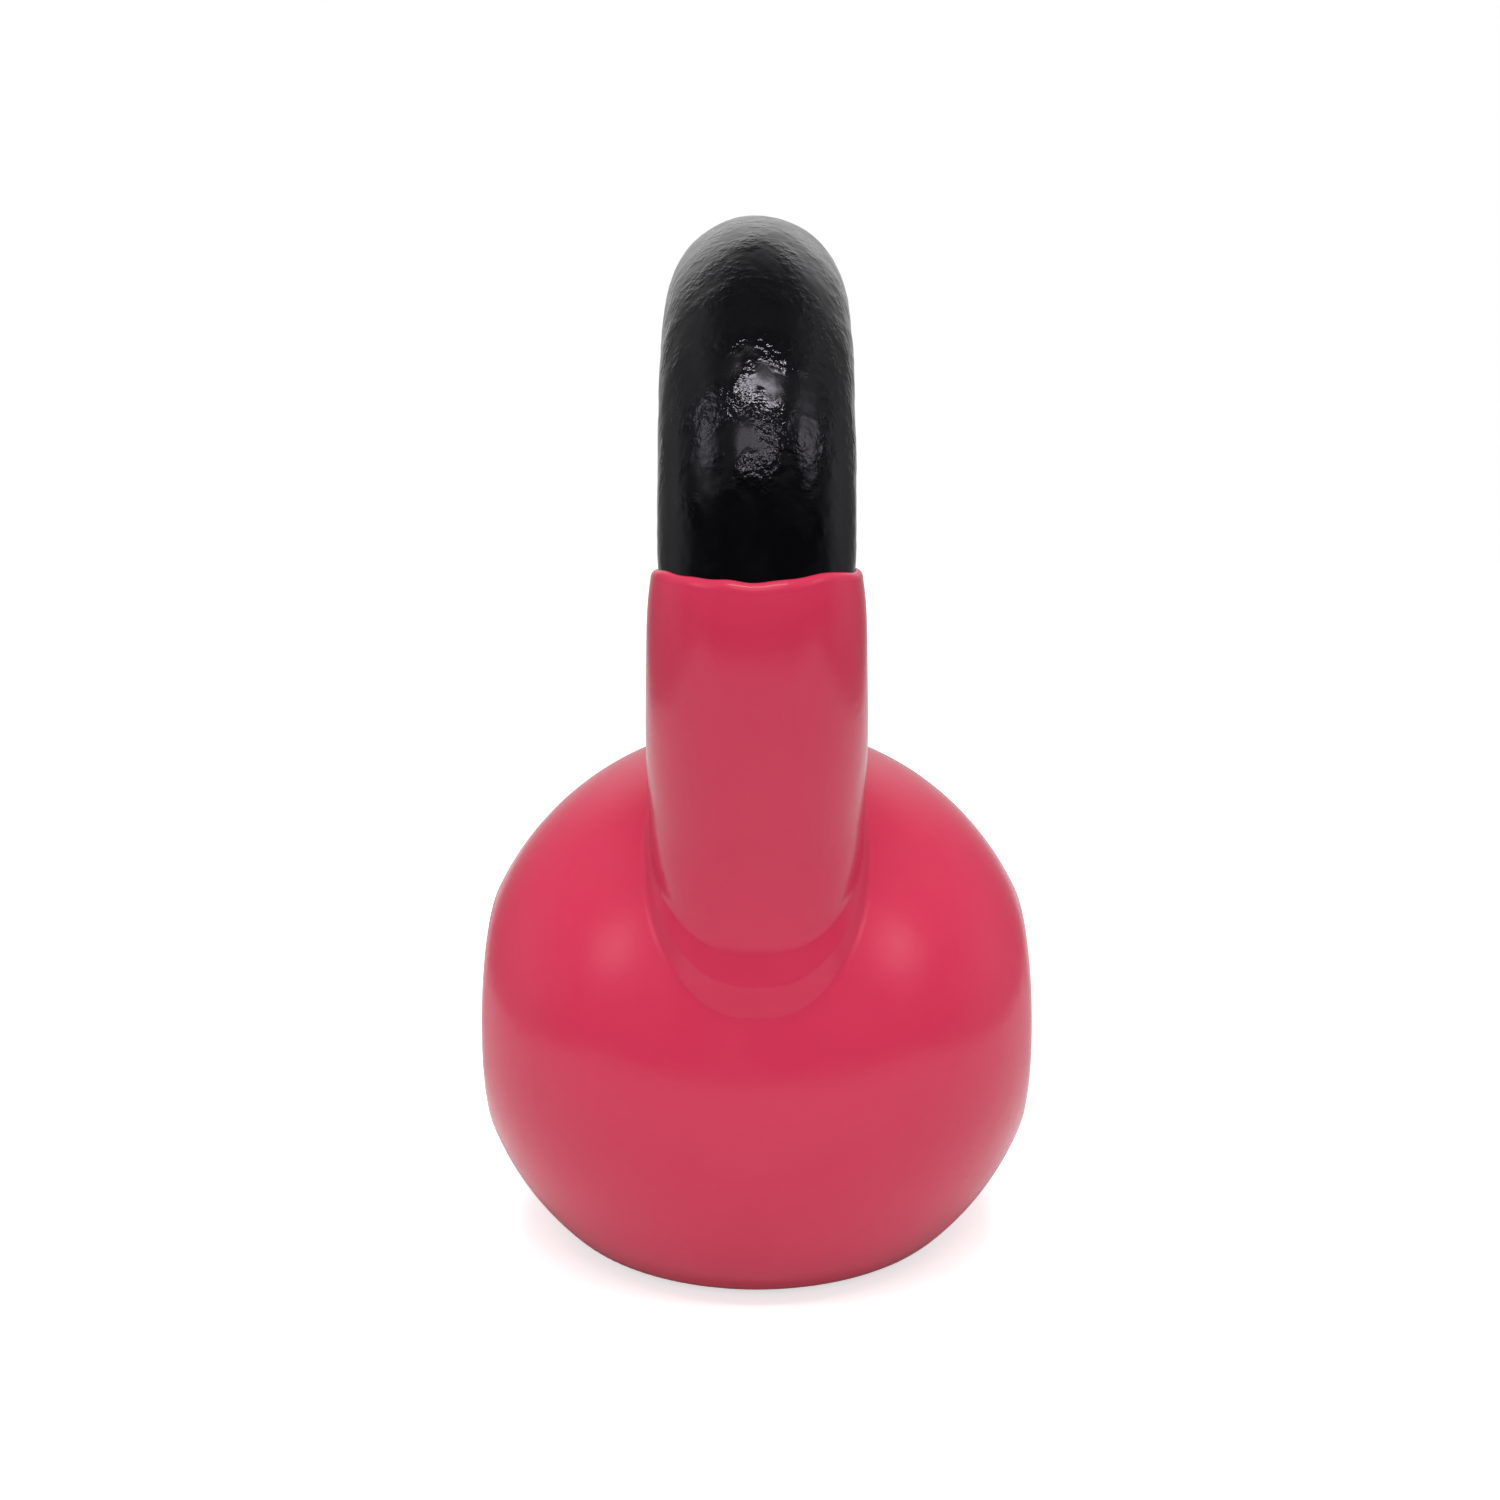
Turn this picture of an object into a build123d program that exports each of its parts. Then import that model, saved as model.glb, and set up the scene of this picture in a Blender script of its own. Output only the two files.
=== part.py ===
"""Vinyl-dipped kettlebell: a solid iron casting and the vinyl jacket that is cured on it.

Millimetres, +Z up, the origin at the middle of the foot. The handle bar runs along X and the two side
flats of the bell face along Y.
"""
import os
from math import asin, atan2, cos, degrees, radians, sin, sqrt

from build123d import *

# Bell
bell_radius = 47.2
flat_depth = 3.8
flat_edge_radius = 13.0
foot_depth = 11.7
foot_edge_radius = 9.6

# Handle
grip_radius = 14.1
horn_fillet_radius = 20.0
horn_curve_radius = 56.4
saddle_half_width = 3.3
root_clearance = 0.5
upright_length = 3.3
corner_radius = 33.0
crown_rise = 1.5

# Vinyl jacket
vinyl_thickness = 1.9
lip_taper_height = 10.0
lip_taper_depth = 0.8
lip_round_radius = 0.5

# The foot and the flats are cut to their depths from the ball, and the jacket's foot stands on the ground
bell_centre_height = vinyl_thickness + bell_radius - foot_depth
flat_half_spacing = bell_radius - flat_depth

# Each horn stands square on the ball: its root runs out from the ball's centre, past the top of the root
# fillet, and the lean of the roots leaves a bare saddle of the ball between their two fillets
fillet_reach = bell_radius + horn_fillet_radius
fillet_spread = grip_radius + horn_fillet_radius
horn_lean = degrees(asin(fillet_spread / fillet_reach) + saddle_half_width / bell_radius)
root_end = sqrt(fillet_reach**2 - fillet_spread**2) + root_clearance
root_start = (grip_radius + vinyl_thickness) / sin(radians(horn_lean))

# Above its root the horn curves upright to the lip and carries on into the arch
horn_inset = horn_curve_radius * (1 - cos(radians(horn_lean)))
horn_half_spacing = root_end * sin(radians(horn_lean)) + horn_inset
root_end_height = bell_centre_height + root_end * cos(radians(horn_lean))
lip_height = root_end_height + horn_curve_radius * sin(radians(horn_lean))
spring_height = lip_height + upright_length

# The arch is three tangent arcs: two corners and a flatter crown that rises a little above them
arch_rise = corner_radius + crown_rise
arch_shoulder = horn_half_spacing - corner_radius
crown_radius = (arch_shoulder**2 + arch_rise**2 - corner_radius**2) / (2 * crown_rise)
crown_half_angle = degrees(atan2(arch_shoulder, crown_radius - arch_rise))

with BuildLine(Plane.XZ) as handle_axis:
    crown = JernArc((0, spring_height + arch_rise), (1, 0), crown_radius, -crown_half_angle)
    corner = JernArc(crown @ 1, crown % 1, corner_radius, crown_half_angle - 90)
    upright = Line(corner @ 1, (horn_half_spacing, lip_height))
    horn = JernArc(upright @ 1, upright % 1, horn_curve_radius, -horn_lean)
    Line(horn @ 1, horn @ 1 + (horn % 1) * (root_end - root_start))
    mirror(about=Plane.YZ)

handle_path = handle_axis.wire()

# The bell is turned from a half section that stands between a horn and a flat
half_bell_plane = Plane(origin=(0, 0, 0), x_dir=(1, 1, 0), z_dir=(1, -1, 0))


def bell_and_handle(skin):
    """The outside of the casting grown evenly by a skin, one solid.

    The convex edges gain the skin on their radius and the hollow fillets at the horn roots lose it, so
    the grown form stays at the same distance from the bare one everywhere.
    """
    foot_height = vinyl_thickness - skin
    sphere_radius = bell_radius + skin
    foot_corner = sqrt(sphere_radius**2 - (bell_centre_height - foot_height) ** 2)
    with BuildPart() as form:
        with BuildSketch(half_bell_plane) as half_bell:
            with BuildLine():
                foot = Line((0, foot_height), (foot_corner, foot_height))
                ball = ThreePointArc(
                    foot @ 1,
                    (sphere_radius, bell_centre_height),
                    (0, bell_centre_height + sphere_radius),
                )
                Line(ball @ 1, foot @ 0)
            make_face()
            fillet(half_bell.vertices().sort_by(Axis.X)[-1], foot_edge_radius + skin)
        revolve(axis=Axis.Z)
        Box(4 * bell_radius, 2 * (flat_half_spacing + skin), 4 * bell_radius, mode=Mode.INTERSECT)
        side_faces = form.faces().sort_by(Axis.Y)
        fillet(side_faces[0].edges() + side_faces[-1].edges(), flat_edge_radius + skin)
        with BuildSketch(Plane(origin=handle_path @ 0, z_dir=handle_path % 0)):
            Circle(grip_radius + skin)
        sweep(path=handle_path)
        fillet(form.edges(Select.NEW), horn_fillet_radius - skin)
    return form.part


bare_form = bell_and_handle(0)
coated_form = bell_and_handle(vinyl_thickness)

with BuildPart() as iron_casting:
    add(bare_form)
iron_casting.part.label = "iron casting, bell and handle"

with BuildPart() as vinyl_jacket:
    add(coated_form)
    split(bisect_by=Plane.XY.offset(lip_height), keep=Keep.BOTTOM)
    for lip_face in vinyl_jacket.faces().filter_by(Axis.Z).sort_by(Axis.Z)[-2:]:
        chamfer(lip_face.edges(), lip_taper_depth, lip_taper_height, reference=lip_face)
    lip_faces = vinyl_jacket.faces().filter_by(Axis.Z).sort_by(Axis.Z)[-2:]
    fillet(lip_faces.edges(), lip_round_radius)
    add(bare_form, mode=Mode.SUBTRACT)
vinyl_jacket.part.label = "dipped vinyl jacket"

os.makedirs("parts", exist_ok=True)
export_step(iron_casting.part, "parts/iron_casting.step")
export_step(vinyl_jacket.part, "parts/vinyl_jacket.step")
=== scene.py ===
"""Looks of a vinyl-dipped kettlebell: an enamelled iron casting in a glossy pink-red vinyl jacket.

Both pieces are closed two-parameter grids that wrap in both directions, because a bell with a handle is a
ring: one parameter runs along the ring of handle and bell, the other runs around it. Their sizes are in
millimetres. Those of the finishes and the studio are in metres and degrees.
"""

import logging
from dataclasses import dataclass
from enum import Enum
from math import atan2, cos, pi, radians, sin

import bpy
import numpy as np
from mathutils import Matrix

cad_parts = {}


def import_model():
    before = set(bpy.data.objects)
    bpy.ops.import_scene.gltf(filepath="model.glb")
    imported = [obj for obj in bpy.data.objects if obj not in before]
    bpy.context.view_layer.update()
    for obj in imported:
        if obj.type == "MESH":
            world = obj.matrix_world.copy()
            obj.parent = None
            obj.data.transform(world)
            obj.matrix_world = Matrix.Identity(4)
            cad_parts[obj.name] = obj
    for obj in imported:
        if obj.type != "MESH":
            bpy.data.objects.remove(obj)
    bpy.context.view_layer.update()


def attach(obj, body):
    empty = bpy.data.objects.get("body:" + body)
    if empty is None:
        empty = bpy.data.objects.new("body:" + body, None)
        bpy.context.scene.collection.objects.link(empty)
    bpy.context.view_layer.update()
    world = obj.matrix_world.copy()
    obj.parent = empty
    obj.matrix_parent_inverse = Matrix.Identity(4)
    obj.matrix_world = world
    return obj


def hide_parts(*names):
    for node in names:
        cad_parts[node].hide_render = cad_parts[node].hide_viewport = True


log = logging.getLogger("kettlebell")

SocketValue = float | tuple | bpy.types.NodeSocket

MM = 0.001
PHOTO_SIDE = 1500  # pixels
AROUND = 192  # points on each ring
NUDGE = 0.01  # millimetres to either side in a central difference
SIDEWAYS = np.array([0.0, 1.0, 0.0])
WHITE = (1.0, 1.0, 1.0, 1.0)
BLACK = (0.0, 0.0, 0.0, 1.0)


class Node(Enum):
    """Nodes of the frame that the pieces stand for."""

    CASTING = "iron_casting"
    JACKET = "vinyl_jacket"


class Slot(Enum):
    """Material slots of the record."""

    ENAMEL = "enamelled_iron"
    VINYL = "vinyl"


def smooth_step(value: np.ndarray, low: float, high: float) -> np.ndarray:
    """Smooth rise from 0 at low to 1 at high, 3 s^2 - 2 s^3 of the share s of the way."""
    share = np.clip((value - low) / (high - low), 0.0, 1.0)
    return share * share * (3.0 - 2.0 * share)


def round_intersection(a: np.ndarray, b: np.ndarray, radius: float) -> np.ndarray:
    """Common part of two distance fields with a rounded edge between them.

    Within the rounding's reach of both it is the distance to an arc, a hypotenuse of the two fields.

    Args:
        a: first distance field.
        b: second distance field.
        radius: reach of the rounding.

    Returns:
        The cut field.
    """
    past_a = np.maximum(radius + a, 0.0)
    past_b = np.maximum(radius + b, 0.0)
    return np.minimum(-radius, np.maximum(a, b)) + np.hypot(past_a, past_b)


def ring_angles() -> np.ndarray:
    """Angles of the points on a ring, 0 on the outer side of the handle and the horns."""
    return np.arange(AROUND) * (2 * pi / AROUND)


def mirrored(grid: np.ndarray) -> np.ndarray:
    """The same rings on the other side of the middle plane X = 0, in the same order."""
    return grid * np.array([-1.0, 1.0, 1.0])


def linked(name: str, data: bpy.types.ID) -> bpy.types.Object:
    """A new object at the origin, linked to the scene.

    Args:
        name: name of the object.
        data: its mesh, lamp or camera.

    Returns:
        The object.
    """
    item = bpy.data.objects.new(name, data)
    bpy.context.scene.collection.objects.link(item)
    return item


def ring_mesh(name: str, grid: np.ndarray) -> bpy.types.Object:
    """Closed smooth mesh from a grid that wraps in both directions.

    The rings run down the right horn and the angles turn from the outer side to +Y, so the faces point
    outwards.

    Args:
        name: name of the object.
        grid: rings by angles by X, Y, Z, in millimetres.

    Returns:
        The object, linked to the scene, at the origin.
    """
    rings, angles, _ = grid.shape
    index = np.arange(rings * angles).reshape(rings, angles)
    ahead = np.roll(index, -1, 0)
    quads = np.stack([index, ahead, np.roll(ahead, -1, 1), np.roll(index, -1, 1)], -1).reshape(-1, 4)
    mesh = bpy.data.meshes.new(name)
    mesh.vertices.add(rings * angles)
    mesh.vertices.foreach_set("co", (grid * MM).astype(np.float32).ravel())
    mesh.loops.add(quads.size)
    mesh.loops.foreach_set("vertex_index", quads.astype(np.int32).ravel())
    mesh.polygons.add(len(quads))
    mesh.polygons.foreach_set("loop_start", np.arange(0, quads.size, 4, dtype=np.int32))
    mesh.polygons.foreach_set("loop_total", np.full(len(quads), 4, dtype=np.int32))
    mesh.update(calc_edges=True)
    mesh.validate()
    mesh.shade_smooth()
    log.info("%s: %d faces", name, len(quads))
    return linked(name, mesh)


def place_in_frame(
    piece: bpy.types.Object, node: Node, material: bpy.types.Material
) -> None:
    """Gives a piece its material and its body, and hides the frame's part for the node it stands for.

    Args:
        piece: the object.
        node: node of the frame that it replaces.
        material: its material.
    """
    piece.data.materials.append(material)
    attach(piece, "root")
    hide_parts(node.value)
    log.info("%s stands for %s", piece.name, node.value)


class NodeTree:
    """Small helper that adds linked shader nodes to a material or a world."""

    def __init__(self, owner: bpy.types.Material | bpy.types.World, shader: str = "Principled BSDF") -> None:
        """Starts from the shader that a new owner has on its output.

        Args:
            owner: the material or the world.
            shader: name of its shader node.
        """
        owner.use_nodes = True
        self.nodes = owner.node_tree.nodes
        self.links = owner.node_tree.links
        self.shader = self.nodes[shader]

    def feed(self, socket: bpy.types.NodeSocket, value: SocketValue) -> None:
        """Sets a constant on an input, or links an output to it.

        Args:
            socket: the input.
            value: constant or output socket.
        """
        if isinstance(value, bpy.types.NodeSocket):
            self.links.new(value, socket)
        else:
            socket.default_value = value

    def fill(self, node: bpy.types.Node, values: dict[str, SocketValue]) -> None:
        """Feeds several inputs of a node, named with underscores for spaces."""
        for key, value in values.items():
            self.feed(node.inputs[key.replace("_", " ")], value)

    def shade(self, **values: SocketValue) -> None:
        """Feeds inputs of the shader."""
        self.fill(self.shader, values)

    def add(self, kind: str, **values: SocketValue) -> bpy.types.Node:
        """Adds a node and feeds its inputs.

        Args:
            kind: node type.
            values: inputs by name, as in fill.

        Returns:
            The node.
        """
        node = self.nodes.new(kind)
        self.fill(node, values)
        return node

    def math(self, operation: str, first: SocketValue, second: SocketValue) -> bpy.types.NodeSocket:
        """Adds a math node.

        Args:
            operation: its operation.
            first: first value, a constant or a socket.
            second: second value, a constant or a socket.

        Returns:
            The result.
        """
        node = self.nodes.new("ShaderNodeMath")
        node.operation = operation
        for socket, value in zip(node.inputs, (first, second)):
            self.feed(socket, value)
        return node.outputs[0]

    def place(self) -> bpy.types.NodeSocket:
        """Object coordinates, in metres."""
        return self.nodes.new("ShaderNodeTexCoord").outputs["Object"]

    def noise(self, scale: float, detail: float = 2.0) -> bpy.types.NodeSocket:
        """Noise in object coordinates, from 0 to 1, with a scale in cells per metre."""
        return self.add("ShaderNodeTexNoise", Vector=self.place(), Scale=scale, Detail=detail).outputs["Fac"]

    def spread(
        self, value: bpy.types.NodeSocket, low: float, high: float, start: float = 0.25, stop: float = 0.75
    ) -> bpy.types.NodeSocket:
        """Maps a span of values evenly to a range, and holds its ends outside the span.

        Args:
            value: source value.
            low: result at start and below.
            high: result at stop and above.
            start: lower end of the mapped values.
            stop: upper end of the mapped values.

        Returns:
            The mapped value.
        """
        node = self.add(
            "ShaderNodeMapRange", Value=value, From_Min=start, From_Max=stop, To_Min=low, To_Max=high
        )
        return node.outputs["Result"]

    def blend(
        self, factor: bpy.types.NodeSocket, first: tuple[float, ...], second: tuple[float, ...]
    ) -> bpy.types.NodeSocket:
        """Mixes two colours.

        Args:
            factor: share of the second colour.
            first: colour at 0.
            second: colour at 1.

        Returns:
            The mixed colour.
        """
        node = self.nodes.new("ShaderNodeMix")
        node.data_type = "RGBA"
        self.feed(node.inputs["Factor"], factor)
        ends = [socket for socket in node.inputs if socket.type == "RGBA"]
        for socket, colour in zip(ends, (first, second)):
            socket.default_value = (*colour, 1.0)
        return next(socket for socket in node.outputs if socket.type == "RGBA")

    def bump(self, distance: float, height: bpy.types.NodeSocket) -> bpy.types.NodeSocket:
        """Normal of a relief that is the given distance deep where the height is 1."""
        node = self.add("ShaderNodeBump", Strength=1.0, Distance=distance, Height=height)
        return node.outputs["Normal"]


@dataclass(frozen=True)
class VinylFinish:
    """Glossy dipped vinyl: pink-red through and through, with faint clouding and a soft shine."""

    colour: tuple[float, float, float] = (0.600, 0.030, 0.081)
    pale: tuple[float, float, float] = (0.620, 0.036, 0.089)
    cloud_scale: float = 60.0
    cloud_detail: float = 3.0
    roughness: tuple[float, float] = (0.18, 0.24)
    shine_scale: float = 240.0
    ior: float = 1.38
    ripple: float = 0.00004
    ripple_scale: float = 330.0

    def material(self) -> bpy.types.Material:
        """Builds the vinyl: clouds between two pinks, areas of shine and a fine ripple.

        Returns:
            The material.
        """
        material = bpy.data.materials.new("vinyl")
        tree = NodeTree(material)
        clouds = tree.spread(tree.noise(self.cloud_scale, self.cloud_detail), 0.0, 1.0)
        tree.shade(
            Base_Color=tree.blend(clouds, self.colour, self.pale),
            Roughness=tree.spread(tree.noise(self.shine_scale), *self.roughness),
            IOR=self.ior,
            Normal=tree.bump(self.ripple, tree.noise(self.ripple_scale)),
        )
        return material


@dataclass(frozen=True)
class EnamelFinish:
    """Black baked enamel that follows the grain of the casting, with dull and glossy, peeled areas."""

    colour: tuple[float, float, float] = (0.0018, 0.0018, 0.0022)
    tint: tuple[float, float, float] = (0.92, 0.87, 1.0)
    ior: float = 1.42
    area_scale: float = 190.0
    roughness: tuple[float, float] = (0.21, 0.07)
    shine_span: tuple[float, float] = (0.42, 0.58)
    peel: float = 0.00016
    peel_scale: float = 1150.0
    peel_span: tuple[float, float] = (0.42, 0.60)
    least_peel: float = 0.06
    lip_peel: float = 0.12
    lip_span: tuple[float, float] = (0.122, 0.136)

    def material(self) -> bpy.types.Material:
        """Builds the enamel, whose orange peel is deep in the glossy areas and fades towards the lips.

        Returns:
            The material.
        """
        material = bpy.data.materials.new("enamel")
        tree = NodeTree(material)
        areas = tree.noise(self.area_scale)
        height = tree.add("ShaderNodeSeparateXYZ", Vector=tree.place()).outputs["Z"]
        over_lip = tree.spread(height, self.lip_peel, 1.0, *self.lip_span)
        peel_share = tree.math("MULTIPLY", tree.spread(areas, self.least_peel, 1.0, *self.peel_span), over_lip)
        peel = tree.math("MULTIPLY", tree.noise(self.peel_scale), peel_share)
        tree.shade(
            Base_Color=(*self.colour, 1.0),
            Roughness=tree.spread(areas, *self.roughness, *self.shine_span),
            IOR=self.ior,
            Specular_Tint=(*self.tint, 1.0),
            Normal=tree.bump(self.peel, peel),
        )
        return material


@dataclass(frozen=True)
class WaveField:
    """Seeded sum of plane waves, an even random relief with a chosen range of wavelengths."""

    seed: int
    shortest: float
    longest: float
    count: int = 48

    def read(self, points: np.ndarray) -> np.ndarray:
        """Value of the field: cosines of random headings, lengths and phases, with a standard deviation of 1.

        Args:
            points: positions in millimetres, last axis X, Y, Z.

        Returns:
            One value per point.
        """
        rng = np.random.default_rng(self.seed)
        heading = rng.normal(size=(self.count, 3))
        heading /= np.linalg.norm(heading, axis=1, keepdims=True)
        length = rng.uniform(self.shortest, self.longest, self.count)
        phase = rng.uniform(0.0, 2.0 * pi, self.count)
        waves = heading * (2.0 * pi / length)[:, None]
        return np.cos(points @ waves.T + phase).sum(-1) * np.sqrt(2.0 / self.count)


@dataclass(frozen=True)
class Form:
    """Outside of the casting and of the jacket over it, in millimetres.

    The bell is a sphere cut by a foot and two side flats. Each horn is a round bar along a line that stands
    upright at the lip, bends inwards on an arc and runs straight to the sphere's centre. Towards its root it
    grows deeper on its outer and its inner side, and a collar with a low step joins it to the bell.
    """

    bell_radius: float = 47.2
    bell_height: float = 37.4
    flat_half_spacing: float = 43.4
    flat_blend: float = 1.0
    flat_blend_gain: float = 0.1
    foot_blend: float = 2.3
    foot_blend_gain: float = 0.25

    grip_radius: float = 14.1
    horn_half_spacing: float = 43.0
    bend_radius: float = 56.4
    lean: float = radians(34.5)
    root_end: float = 58.4
    lip_height: float = 117.48

    flare_radius: float = 56.0
    flare_start: float = 19.0
    inner_flare_radius: float = 27.0
    inner_flare_start: float = 31.9
    flare_limit: float = 0.9
    flare_square: float = 0.45
    square_growth: float = 5.0

    collar_side: float = 1.0
    collar_above: float = 4.2
    collar_below: float = 4.9
    collar_inner: float = 2.0
    collar_round: float = 0.10
    inner_round: float = 0.8
    inner_turn: float = 0.6
    collar_step: float = 0.060
    collar_edge: float = 0.47

    vinyl: float = 1.9
    lip_vinyl: float = 0.70
    lip_run: float = 5.2
    drained_vinyl: float = 0.45
    drain_span: tuple[float, float] = (10.0, 30.0)

    bare_start: float = 24.0
    bare_counts: tuple[int, int, int] = (4, 8, 22)

    @property
    def bell_centre(self) -> np.ndarray:
        """Centre of the bell's sphere, where the axes of the two roots meet."""
        return np.array([0.0, 0.0, self.bell_height])

    @property
    def root_drop(self) -> float:
        """Distance from the lip to the bell's centre along the horn's axis."""
        return self.bend_radius * self.lean + self.root_end

    def axis(self, along: np.ndarray) -> tuple[np.ndarray, np.ndarray]:
        """Right horn's axis, an upright line, an arc of the bend radius and a leaning line.

        Args:
            along: distance below the lip along the axis, negative above it.

        Returns:
            Points and outward normals, each with X, Y, Z last.
        """
        turn = np.clip(along / self.bend_radius, 0.0, self.lean)
        extra = along - turn * self.bend_radius
        tangent = np.stack([-np.sin(turn), 0.0 * turn, -np.cos(turn)], -1)
        outward = np.stack([np.cos(turn), 0.0 * turn, -np.sin(turn)], -1)
        centre = np.array([self.horn_half_spacing - self.bend_radius, 0.0, self.lip_height])
        return centre + self.bend_radius * outward + extra[..., None] * tangent, outward

    def horn_rings(
        self, along: np.ndarray, radius: np.ndarray | float, around: np.ndarray
    ) -> np.ndarray:
        """Rings round the right horn: its axis plus a circle in each plane square to it.

        Args:
            along: place of each ring point below the lip, broadcast against the others.
            radius: radius at each ring point.
            around: angle of each ring point, 0 on the outer side.

        Returns:
            Grid of points, rings by angles by X, Y, Z.
        """
        along, radius, around = np.broadcast_arrays(along, radius, around)
        centre, outward = self.axis(along)
        lift = outward * np.cos(around)[..., None] + SIDEWAYS * np.sin(around)[..., None]
        return centre + radius[..., None] * lift

    def sleeve_skin(self, along: np.ndarray) -> np.ndarray:
        """Thickness of the vinyl on a horn: thin at the lip, fuller where the dip drained down.

        It nears the full wall exponentially below the lip, and a smooth step adds what drained.

        Args:
            along: distance below the lip's edge.

        Returns:
            Thickness in millimetres.
        """
        rise = 1.0 - np.exp(-np.maximum(along, 0.0) / self.lip_run)
        drained = self.drained_vinyl * smooth_step(along, *self.drain_span)
        return self.lip_vinyl + (self.vinyl - self.lip_vinyl) * rise + drained

    def section(self, drop: np.ndarray, around: np.ndarray, bar: float) -> np.ndarray:
        """Radius of the horn near its root: as wide as the bar, with a depth that grows along an arc.

        The section is a superellipse, whose power rises from 2 as the depth grows on the outer side.

        Args:
            drop: distance below the lip.
            around: angles round the horn.
            bar: radius of the horn above the flare.

        Returns:
            Radius at each place.
        """
        outer = np.cos(around) > 0.0
        bend = np.where(outer, self.flare_radius, self.inner_flare_radius)
        begin = np.where(outer, self.flare_start, self.inner_flare_start)
        past = np.clip(drop - begin, 0.0, self.flare_limit * bend)
        growth = bend - np.sqrt(bend**2 - past**2)
        square = np.where(outer, self.flare_square, 0.0)
        power = 2.0 + square * smooth_step(growth, 0.0, self.square_growth)
        ahead = np.abs(np.cos(around)) / (bar + growth)
        aside = np.abs(np.sin(around)) / bar
        return (ahead**power + aside**power) ** (-1.0 / power)

    def flared(
        self, drop: np.ndarray, around: np.ndarray, bar: float
    ) -> tuple[np.ndarray, np.ndarray]:
        """Radius of the horn near its root and its growth, by central differences.

        Args:
            drop: distance below the lip.
            around: angles round the horn.
            bar: radius of the horn above the flare.

        Returns:
            Radius at each place, and how fast it grows downwards.
        """
        growth = self.section(drop + NUDGE, around, bar) - self.section(drop - NUDGE, around, bar)
        return self.section(drop, around, bar), growth / (2.0 * NUDGE)

    def bell_field(self, points: np.ndarray, skin: float) -> np.ndarray:
        """Signed distance-like field of the bell, below zero inside: a sphere cut by two flats and a foot.

        Args:
            points: positions with X, Y, Z last.
            skin: thickness of vinyl over the bare casting.

        Returns:
            One value per point.
        """
        ball = np.linalg.norm(points - self.bell_centre, axis=-1) - self.bell_radius - skin
        flats = np.abs(points[..., 1]) - self.flat_half_spacing - skin
        foot = self.vinyl - skin - points[..., 2]
        bell = round_intersection(ball, flats, self.flat_blend + self.flat_blend_gain * skin)
        return round_intersection(bell, foot, self.foot_blend + self.foot_blend_gain * skin)

    def settle(self, points: np.ndarray, skin: float, rounds: int = 14) -> np.ndarray:
        """Moves points onto the bell by Newton steps along the field's gradient.

        A step is the field over the square of its slope, with limits on both. Points on the middle plane
        X = 0 stay on it.

        Args:
            points: starting positions near the surface.
            skin: thickness of vinyl, as in bell_field.
            rounds: number of steps.

        Returns:
            Points on the surface.
        """
        on_plane, least_slope, longest = 1e-6, 0.2, 4.0
        nudges = NUDGE * np.eye(3)
        for _ in range(rounds):
            value = self.bell_field(points, skin)
            rise = [self.bell_field(points + h, skin) - self.bell_field(points - h, skin) for h in nudges]
            slope = np.stack(rise, -1) / (2.0 * NUDGE)
            slope[..., 0] = np.where(np.abs(points[..., 0]) < on_plane, 0.0, slope[..., 0])
            reach = np.clip(value / np.maximum((slope**2).sum(-1), least_slope), -longest, longest)
            points = points - reach[..., None] * slope
        return points

    def root_corner(
        self, around: np.ndarray, bar: float, ball: float, rounds: int = 24
    ) -> np.ndarray:
        """Height over the bell's centre, along the root's axis, at which the flared horn meets the ball.

        Newton steps on radius^2 + height^2 = ball^2, from the corner of the plain bar.

        Args:
            around: angles round the horn.
            bar: radius of the horn above the flare.
            ball: radius of the ball.
            rounds: number of steps.

        Returns:
            Height at each angle.
        """
        corner = np.full(around.shape, np.sqrt(ball**2 - bar**2))
        for _ in range(rounds):
            out, slope = self.flared(self.root_drop - corner, around, bar)
            corner = corner - (out**2 + corner**2 - ball**2) / (2.0 * (corner - out * slope))
        return corner

    def collar_reach(self, around: np.ndarray) -> tuple[np.ndarray, np.ndarray]:
        """Reach of the collar round a horn's root: narrow beside the horn, wider in front of it.

        A side reach plus a gain, by the square of the angle's cosine up the horn and its fourth power over
        the ball.

        Args:
            around: angles round the horn, 0 on the outer side.

        Returns:
            Reach in millimetres at each angle, up the horn and over the ball.
        """
        outer = np.cos(around) > 0.0
        gain_above = np.where(outer, self.collar_above, self.collar_inner) - self.collar_side
        gain_below = np.where(outer, self.collar_below, self.collar_inner) - self.collar_side
        weight = np.cos(around) ** 2
        return self.collar_side + gain_above * weight, self.collar_side + gain_below * weight**2

    def collar(
        self, around: np.ndarray, bar: float, ball: float, count: int, step: float
    ) -> tuple[np.ndarray, np.ndarray, np.ndarray]:
        """Collar between a horn and the ball, in the planes through the root's axis.

        Each such plane cuts the ball in a circle and the flared horn in a line. The collar is a quadratic
        curve from the line, a little above their corner, to the circle, a little below it. Its middle point
        lies between the chord's middle and the point where the two tangents meet, nearer to the chord on the
        outer side. There a low step stands on it: a triangle with its ridge at the collar's edge.

        Args:
            around: angles round the horn, 0 on the outer side.
            bar: radius of the horn above the flare.
            ball: radius of the ball.
            count: number of rings.
            step: height of the ridge as a share of the chord.

        Returns:
            Distance from the axis and height over the bell's centre, rings by angles, and the angle from the
            axis at which the collar ends on the ball.
        """
        corner = self.root_corner(around, bar, ball)
        up_horn, over_ball = self.collar_reach(around)
        high = corner + up_horn
        out, slope = self.flared(self.root_drop - high, around, bar)
        end = np.arctan2(np.sqrt(ball**2 - corner**2), corner) + over_ball / ball
        low_out, low = ball * np.sin(end), ball * np.cos(end)
        off_tangent = (low_out - out) * np.sin(end) + (low - high) * np.cos(end)
        fall = off_tangent / (slope * np.sin(end) - np.cos(end))

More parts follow.
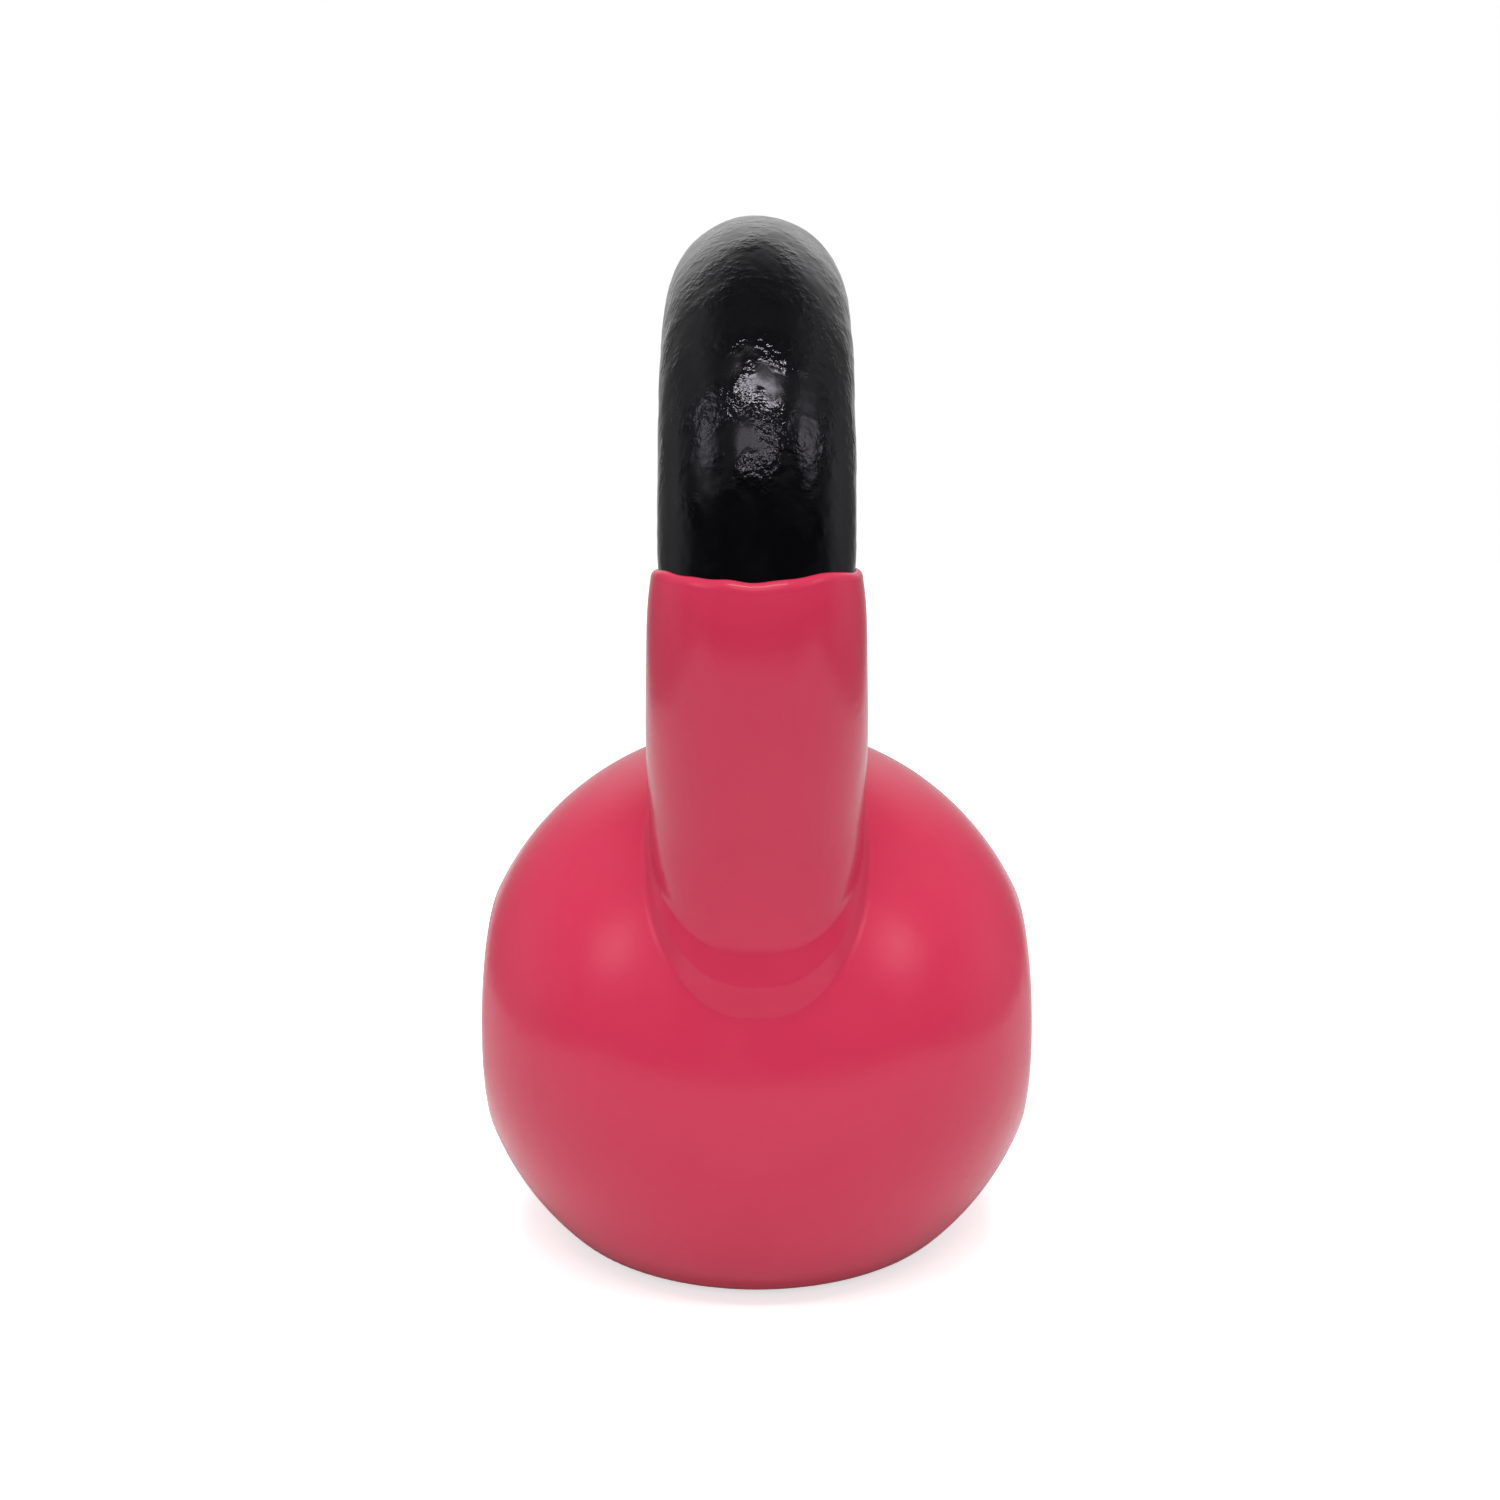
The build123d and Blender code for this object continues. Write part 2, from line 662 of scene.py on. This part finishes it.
        inner = smooth_step(-np.cos(around), 0.0, self.inner_turn)
        pull = self.collar_round + (self.inner_round - self.collar_round) * inner
        turn_out = (1.0 - pull) * 0.5 * (out + low_out) + pull * (out + slope * fall)
        turn_rise = (1.0 - pull) * 0.5 * (high + low) + pull * (high - fall)

        share = np.linspace(0.0, 1.0, count)[:, None]
        first, middle, last = (1.0 - share) ** 2, 2.0 * share * (1.0 - share), share**2
        chord = np.hypot(low_out - out, high - low)
        peak = np.minimum(share / self.collar_edge, (1.0 - share) / (1.0 - self.collar_edge))
        ridge = step * chord * (1.0 - inner) * np.abs(np.cos(around)) * peak
        away = first * out + middle * turn_out + last * low_out + ridge * (high - low) / chord
        rise = first * high + middle * turn_rise + last * low + ridge * (low_out - out) / chord
        return away, rise, end

    def half_bell(
        self, around: np.ndarray, counts: tuple[int, int, int], start: float, skin: float
    ) -> np.ndarray:
        """Rings from a horn over its collar to the bell's middle plane at X = 0.

        Past the collar the rings fan out over the ball by even angles from the root's axis, and are then
        settled on the flats and the foot.

        Args:
            around: angles of the grid, 0 on the outer side.
            counts: number of steps on the horn, of rings on the collar and of rings on the bell, the last of
                them at X = 0.
            start: distance below the lip at which the rings start.
            skin: thickness of vinyl, as in bell_field, or 0 for the bare casting.

        Returns:
            Grid of points, rings by angles by X, Y, Z.
        """
        on_horn, on_collar, on_bell = counts
        bar = self.grip_radius + (self.vinyl + self.drained_vinyl if skin else 0.0)
        ball = self.bell_radius + skin
        pole = np.array([sin(self.lean), 0.0, cos(self.lean)])
        fan = np.array([cos(self.lean), 0.0, -sin(self.lean)])
        spread = fan * np.cos(around)[:, None] + SIDEWAYS * np.sin(around)[:, None]

        step = self.collar_step if skin else 0.0
        away, rise, first = self.collar(around, bar, ball, on_collar, step)
        collar = self.bell_centre + rise[..., None] * pole + away[..., None] * spread

        share = np.linspace(0.0, 1.0, on_horn + 1)[1:-1, None]
        drop = start + (self.root_drop - rise[0] - start) * share
        thick = self.sleeve_skin(drop) if skin else 0.0
        horn = self.horn_rings(drop, self.section(drop, around, bar) - bar + self.grip_radius + thick, around)

        last = np.arctan2(pole[0], -np.cos(around) * fan[0])
        angle = first + (last - first) * np.linspace(0.0, 1.0, on_bell + 1)[1:, None]
        towards = pole * np.cos(angle)[..., None] + spread * np.sin(angle)[..., None]
        bell = self.bell_centre + ball * towards
        bell[-1, :, 0] = 0.0
        return np.concatenate([horn, collar, self.settle(bell, skin)])

    def bare_bell(self, around: np.ndarray) -> np.ndarray:
        """Rings of the bare casting under the jacket, as in half_bell."""
        return self.half_bell(around, self.bare_counts, self.bare_start, 0.0)


@dataclass(frozen=True)
class Casting:
    """The iron casting: the bare bell inside the jacket and the grained, enamelled handle."""

    form: Form
    finish: EnamelFinish = EnamelFinish()
    height: float = 169.4
    corner_radius: float = 33.0
    upright: float = 3.3
    ring_step: float = 0.42
    inset: float = 0.10
    grain: WaveField = WaveField(11, 1.3, 2.6)
    grain_depth: float = 0.012
    grain_limit: float = 2.2
    swell: WaveField = WaveField(12, 6.0, 14.0)
    swell_depth: float = 0.035
    swell_limit: float = 2.0
    gap: float = 0.03
    horn_start: float = 0.4
    horn_count: int = 14

    def arch(self) -> tuple[np.ndarray, np.ndarray]:
        """Axis of the handle above the lips: uprights, two corner arcs and a flatter crown arc.

        The crown is tangent to both corners, so its radius is (shoulder^2 + rise^2 - corner^2) over twice
        its rise above them.

        Returns:
            Points and outward normals from the right lip to the left lip, X, Y, Z last.
        """
        form, corner = self.form, self.corner_radius
        spring = form.lip_height + self.upright
        rise = self.height - form.grip_radius - spring
        shoulder = form.horn_half_spacing - corner
        crown = (shoulder**2 + rise**2 - corner**2) / (2 * (rise - corner))
        half_crown = atan2(shoulder, crown - rise)
        corner_end = pi / 2 - half_crown
        corner_length = corner * corner_end
        half = self.upright + corner_length + crown * half_crown
        along = np.linspace(0.0, 2 * half, int(2 * half / self.ring_step))
        side = np.where(along > half, -1.0, 1.0)
        near = np.where(along > half, 2 * half - along, along)
        on_crown = np.clip(near - self.upright - corner_length, 0.0, None)
        corner_turn = np.clip(near - self.upright, 0.0, corner_length) / corner
        turn = corner_turn + on_crown / crown
        x = shoulder + corner * np.cos(corner_turn)
        z = spring + corner * np.sin(corner_turn) - np.maximum(self.upright - near, 0.0)
        x = np.where(on_crown > 0.0, crown * np.cos(corner_end + on_crown / crown), x)
        crown_z = spring + rise - crown + crown * np.sin(corner_end + on_crown / crown)
        z = np.where(on_crown > 0.0, crown_z, z)
        outward = np.stack([side * np.cos(turn), 0.0 * turn, np.sin(turn)], -1)
        return np.stack([side * x, 0.0 * x, z], -1), outward

    def build(self) -> bpy.types.Object:
        """Handle rings displaced by a cast grain, then the smooth horns and bell under the jacket.

        Returns:
            The casting's object.
        """
        form = self.form
        around = ring_angles()
        middle, outward = (rows[:, None, :] for rows in self.arch())
        lift = outward * np.cos(around)[:, None] + SIDEWAYS * np.sin(around)[:, None]
        bare = form.grip_radius - self.inset
        places = middle + bare * lift
        grain = np.clip(self.grain.read(places), -self.grain_limit, self.grain_limit)
        swell = np.clip(self.swell.read(places), -self.swell_limit, self.swell_limit)
        relief = self.grain_depth * grain + self.swell_depth * swell
        handle = middle + (bare + relief)[..., None] * lift
        drop = np.linspace(self.horn_start, form.bare_start, self.horn_count)[:, None]
        horn = form.horn_rings(drop, form.grip_radius - self.gap, around)
        right = np.concatenate([horn, form.bare_bell(around)])
        left = mirrored(right)[::-1][1:]
        return ring_mesh("casting", np.concatenate([handle[::-1], right, left]))

    def dress(self) -> None:
        """Builds the casting and gives it its enamel and its place in the frame."""
        place_in_frame(self.build(), Node.CASTING, self.finish.material())


@dataclass(frozen=True)
class Bump:
    """One drawn-up place on a lip, a bell curve over the angle, in degrees and millimetres."""

    angle: float
    width: float
    height: float

    def rise(self, around: np.ndarray) -> np.ndarray:
        """Height at each angle."""
        away = np.angle(np.exp(1j * (around - radians(self.angle))))
        return self.height * np.exp(-((away / radians(self.width)) ** 2))


@dataclass(frozen=True)
class Lip:
    """Wavy edge of one sleeve: a soft random wave with a few drawn-up bumps."""

    wave: WaveField
    bumps: tuple[Bump, ...]
    wave_depth: float = 0.12
    radius: float = 15.0

    def rise(self, around: np.ndarray) -> np.ndarray:
        """Height of the edge over the lip plane, the wave on a circle plus the bumps.

        Args:
            around: angles, 0 on the outer side.

        Returns:
            Height in millimetres at each angle.
        """
        circle = self.radius * np.stack([np.cos(around), np.sin(around), 0.0 * around], -1)
        return self.wave_depth * self.wave.read(circle) + sum(bump.rise(around) for bump in self.bumps)


@dataclass(frozen=True)
class Jacket:
    """The dipped vinyl jacket: bell, foot, root collars and two sleeves with rounded wavy lips."""

    form: Form
    finish: VinylFinish = VinylFinish()
    right_lip: Lip = Lip(WaveField(3, 5.0, 16.0, 24), (Bump(-62.0, 18.0, 0.6), Bump(44.0, 19.0, 0.45)))
    left_lip: Lip = Lip(WaveField(5, 5.0, 16.0, 24), (Bump(70.0, 20.0, 0.6), Bump(-30.0, 15.0, 0.5)))
    edge: float = 1.3
    edge_count: int = 11
    tuck: float = 0.12
    sleeve_end: float = 28.0
    sleeve_count: int = 62
    sleeve_crowding: float = 1.35
    bell_counts: tuple[int, int, int] = (10, 30, 78)
    wall_start: float = 1.2
    wall_count: int = 12

    def sleeve(self, lip: Lip, around: np.ndarray) -> tuple[np.ndarray, np.ndarray]:
        """Rings of one sleeve over its rounded edge and down the outside.

        The edge is a quarter of an ellipse from the wall's inside to its outside. The lip's wave moves the
        edge and fades down the sleeve, whose rings crowd towards it.

        Args:
            lip: the wavy edge.
            around: angles of the grid.

        Returns:
            The outside from the edge down to the sleeve's end, and the rounded edge from inside to outside.
        """
        form = self.form
        rise = lip.rise(around)
        share = np.linspace(0.0, 1.0, self.sleeve_count)[:, None] ** self.sleeve_crowding
        depth = self.edge + (self.sleeve_end - self.edge) * share
        coated = form.grip_radius + form.vinyl
        flare = form.section(depth, around, coated) - coated
        radius = form.grip_radius + form.sleeve_skin(depth) + flare
        outside = form.horn_rings(depth - rise * (1.0 - share) ** 2, radius, around)
        nose = np.linspace(pi / 2, 0.0, self.edge_count)[:-1, None]
        wall = form.sleeve_skin(self.edge) + self.tuck
        radius = form.grip_radius - self.tuck + wall * np.cos(nose)
        drop = self.edge * (1.0 - np.sin(nose)) - rise
        return outside, form.horn_rings(drop, radius, around)

    def build(self) -> bpy.types.Object:
        """Outside from the right lip over the bell to the left lip, then the inner wall back.

        Returns:
            The jacket's object.
        """
        form = self.form
        around = ring_angles()
        bell = form.half_bell(around, self.bell_counts, self.sleeve_end, form.vinyl)
        right, right_edge = self.sleeve(self.right_lip, around)
        left, left_edge = self.sleeve(self.left_lip, around)
        drop = np.linspace(self.wall_start, form.bare_start, self.wall_count)[:, None]
        inner = np.concatenate([form.horn_rings(drop, form.grip_radius, around), form.bare_bell(around)])
        rows = [
            right_edge,
            right,
            bell,
            mirrored(bell)[::-1][1:],
            mirrored(left)[::-1],
            mirrored(left_edge)[::-1],
            mirrored(inner),
            inner[::-1][1:],
        ]
        return ring_mesh("jacket", np.concatenate(rows))

    def dress(self) -> None:
        """Builds the jacket and gives it its vinyl and its place in the frame."""
        place_in_frame(self.build(), Node.JACKET, self.finish.material())


@dataclass(frozen=True)
class Panel:
    """One soft studio panel, placed by direction from what it faces."""

    name: str
    azimuth: float
    elevation: float
    distance: float
    width: float
    height: float
    power: float
    mirrored: bool = True

    def build(self, target: tuple[float, float, float]) -> None:
        """Adds the panel as an area lamp that faces the target.

        Args:
            target: point that the panel faces.
        """
        lamp = bpy.data.lights.new(self.name, "AREA")
        lamp.shape = "RECTANGLE"
        lamp.size = self.width
        lamp.size_y = self.height
        lamp.energy = self.power
        holder = linked(self.name, lamp)
        turn, lift = radians(self.azimuth), radians(self.elevation)
        holder.location = (
            target[0] + self.distance * cos(lift) * cos(turn),
            target[1] + self.distance * cos(lift) * sin(turn),
            target[2] + self.distance * sin(lift),
        )
        holder.rotation_euler = (pi / 2 - lift, 0.0, turn + pi / 2)
        holder.visible_glossy = self.mirrored


@dataclass(frozen=True)
class Floor:
    """The pale floor: a strip that widens to the front, and two wings that reflections don't see."""

    half: float = 1.2
    front: float = 0.28
    strip_half: float = 0.29
    front_half: float = 0.42
    grey: float = 0.74
    roughness: float = 0.9
    seen_glow: float = 0.65
    mirrored_glow: float = 0.02

    def material(self) -> bpy.types.Material:
        """Builds the floor's matt grey, which glows to white where the camera sees it.

        Returns:
            The material.
        """
        material = bpy.data.materials.new("floor")
        tree = NodeTree(material)
        path = tree.nodes.new("ShaderNodeLightPath").outputs
        mirror_rays = tree.math("MAXIMUM", path["Is Glossy Ray"], path["Is Transmission Ray"])
        mirror_part = tree.math("MULTIPLY", mirror_rays, self.mirrored_glow)
        seen_part = tree.math("MULTIPLY", path["Is Camera Ray"], self.seen_glow)
        tree.shade(
            Base_Color=(self.grey, self.grey, self.grey, 1.0),
            Roughness=self.roughness,
            Specular_IOR_Level=0.0,
            Emission_Color=WHITE,
            Emission_Strength=tree.math("ADD", mirror_part, seen_part),
        )
        return material

    def build(self) -> None:
        """Adds the strip as one flat face and the wings as two."""
        half, front, near, far = self.half, self.front, self.strip_half, self.front_half
        strip = [(-half, -near), (0.0, -near), (front, -far), (front, far), (0.0, near), (-half, near)]
        wing = [(-half, near), (0.0, near), (front, far), (front, half), (-half, half)]
        other = [(x, -y) for x, y in wing[::-1]]
        material = self.material()
        for name, outlines in (("floor", [strip]), ("floor_wings", [wing, other])):
            points = [(x, y, 0.0) for outline in outlines for x, y in outline]
            count = len(outlines[0])
            faces = [tuple(range(start, start + count)) for start in range(0, len(points), count)]
            mesh = bpy.data.meshes.new(name)
            mesh.from_pydata(points, [], faces)
            mesh.materials.append(material)
            plane = linked(name, mesh)
            plane.visible_glossy = name == "floor"


@dataclass(frozen=True)
class Glow:
    """Soft patch of light on both sides of the room, a bell curve over azimuth and elevation."""

    strength: float
    azimuth: float
    azimuth_width: float
    elevation: float
    elevation_width: float

    def read(self, aside: np.ndarray, height: np.ndarray) -> np.ndarray:
        """Strength of the patch in each direction.

        Args:
            aside: azimuths, counted from the front to either side.
            height: elevations.

        Returns:
            One value per direction.
        """
        across = ((aside - self.azimuth) / self.azimuth_width) ** 2
        upwards = ((height - self.elevation) / self.elevation_width) ** 2
        return self.strength * np.exp(-across - upwards)


@dataclass(frozen=True)
class Room:
    """The room that only reflections see: a pale tent with a dim top and a dark opening in front.

    Its back is brighter, both low down and at half height, and soft patches of light stand at its sides.
    Azimuths are counted from the front to either side. A span is where a smooth step runs.
    """

    reach: float = 2.4
    lowest: float = -18.0
    turn_count: int = 145
    lift_count: int = 109
    top: float = 0.10
    wall: float = 0.10
    wall_top: tuple[float, float] = (45.0, 75.0)
    low_back: float = 0.40
    low_back_side: tuple[float, float] = (140.0, 168.0)
    low_back_top: tuple[float, float] = (20.0, 35.0)
    high_back: float = 0.80
    high_back_side: tuple[float, float] = (120.0, 160.0)
    high_back_middle: float = 38.0
    high_back_width: float = 16.0
    opening: float = 0.03
    opening_side: tuple[float, float] = (70.0, 100.0)
    opening_top: tuple[float, float] = (21.0, 27.0)
    skirting: float = 0.12
    skirting_middle: float = 91.0
    skirting_width: float = 11.0
    skirting_top: tuple[float, float] = (6.0, 16.0)
    patches: tuple[Glow, ...] = (
        Glow(0.25, 97.0, 22.0, 42.0, 10.0),
        Glow(0.25, 107.0, 14.0, 10.0, 18.0),
        Glow(2.7, 66.0, 10.0, 29.5, 9.0),
    )

    def shine(self, aside: np.ndarray, height: np.ndarray) -> np.ndarray:
        """Glow of the room: the tent outside the opening, plus a skirting at the sides and the patches.

        Args:
            aside: azimuths.
            height: elevations.

        Returns:
            One value per direction.
        """
        opening = 1.0 - smooth_step(aside, *self.opening_side)
        opening = opening * (1.0 - smooth_step(height, *self.opening_top))
        low_back = smooth_step(aside, *self.low_back_side)
        low_back = low_back * (1.0 - smooth_step(height, *self.low_back_top))
        off_middle = (height - self.high_back_middle) / self.high_back_width
        high_back = smooth_step(aside, *self.high_back_side) * np.exp(-(off_middle**2))
        tent = self.top + self.wall * (1.0 - smooth_step(height, *self.wall_top))
        tent = tent + self.low_back * low_back + self.high_back * high_back
        skirting = np.exp(-(((aside - self.skirting_middle) / self.skirting_width) ** 2))
        skirting = skirting * (1.0 - smooth_step(height, *self.skirting_top))
        shine = tent * (1.0 - opening) + self.opening * opening + self.skirting * skirting
        return shine + sum(patch.read(aside, height) for patch in self.patches)

    def material(self) -> bpy.types.Material:
        """Builds a black material that glows by the mesh's own attribute.

        Returns:
            The material.
        """
        material = bpy.data.materials.new("room")
        tree = NodeTree(material)
        source = tree.nodes.new("ShaderNodeAttribute")
        source.attribute_name = "glow"
        tree.shade(
            Base_Color=BLACK,
            Specular_IOR_Level=0.0,
            Emission_Color=WHITE,
            Emission_Strength=source.outputs["Fac"],
        )
        return material

    def build(self) -> None:
        """Adds the room, a part of a sphere on a grid of azimuth and elevation."""
        turn = np.radians(np.linspace(-180.0, 180.0, self.turn_count))
        lift = np.radians(np.linspace(self.lowest, 90.0, self.lift_count))[:, None]
        x, y, z = np.cos(lift) * np.cos(turn), np.cos(lift) * np.sin(turn), np.sin(lift) + 0.0 * turn
        points = self.reach * np.stack([x, y, z], -1)
        index = np.arange(x.size).reshape(x.shape)
        quads = np.stack([index[:-1, :-1], index[:-1, 1:], index[1:, 1:], index[1:, :-1]], -1)
        mesh = bpy.data.meshes.new("room")
        mesh.from_pydata(points.reshape(-1, 3).tolist(), [], quads.reshape(-1, 4).tolist())
        shine = self.shine(np.abs(np.degrees(turn)), np.degrees(lift))
        glow = mesh.attributes.new("glow", "FLOAT", "POINT")
        glow.data.foreach_set("value", shine.ravel().astype(np.float32))
        mesh.materials.append(self.material())
        card = linked("room", mesh)
        card.visible_camera = False
        card.visible_diffuse = False
        card.visible_shadow = False


@dataclass(frozen=True)
class PhotoCamera:
    """The photograph's camera: its place in millimetres, its view in the photograph's pixels."""

    x: float = 297.9
    z: float = 142.7
    pitch: float = radians(11.37)
    focal_pixels: float = 1800.0
    middle_pixel: float = 756.8
    sensor: float = 36.0
    clip_start: float = 0.01

    def build(self) -> None:
        """Adds the camera and makes it the scene's."""
        data = bpy.data.cameras.new("camera")
        data.sensor_width = self.sensor
        data.lens = self.sensor * self.focal_pixels / PHOTO_SIDE
        data.shift_x = -(self.middle_pixel - PHOTO_SIDE / 2) / PHOTO_SIDE
        data.clip_start = self.clip_start
        holder = linked("camera", data)
        holder.location = (self.x * MM, 0.0, self.z * MM)
        holder.rotation_euler = (pi / 2 - self.pitch, 0.0, pi / 2)
        bpy.context.scene.camera = holder


@dataclass(frozen=True)
class Studio:
    """White floor and surround, the room in the reflections, soft panels and the photograph's camera."""

    floor: Floor = Floor()
    room: Room = Room()
    camera: PhotoCamera = PhotoCamera()
    surround_light: float = 0.47
    aim: tuple[float, float, float] = (0.0, 0.0, 0.08)
    panels: tuple[Panel, ...] = (
        Panel("front_low", 0.0, 35.0, 1.1, 0.85, 0.06, 1.05),
        Panel("front_high", 0.0, 57.5, 1.1, 0.82, 0.05, 4.00),
        Panel("overhead", 0.0, 88.0, 1.6, 1.0, 1.0, 21.5, mirrored=False),
    )

    def surround(self) -> None:
        """Sets the white surround: white where it is seen or mirrored, softer as a light."""
        world = bpy.data.worlds.new("surround")
        tree = NodeTree(world, "Background")
        path = tree.nodes.new("ShaderNodeLightPath").outputs
        seen = tree.math("MAXIMUM", path["Is Camera Ray"], path["Is Glossy Ray"])
        seen = tree.math("MAXIMUM", seen, path["Is Transmission Ray"])
        tree.shade(Color=WHITE, Strength=tree.spread(seen, self.surround_light, 1.0, 0.0, 1.0))
        bpy.context.scene.world = world

    def build(self) -> None:
        """Builds the whole studio."""
        self.floor.build()
        self.room.build()
        self.surround()
        self.camera.build()
        for panel in self.panels:
            panel.build(self.aim)
        bpy.context.scene.view_settings.view_transform = "Standard"
        log.info("studio: %d panels", len(self.panels))


def main() -> None:
    """Builds the kettlebell in its frame and the studio round it."""
    logging.basicConfig(level=logging.INFO, format="%(name)s: %(message)s")
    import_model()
    form = Form()
    Casting(form).dress()
    Jacket(form).dress()
    Studio().build()


if __name__ == "__main__":
    main()
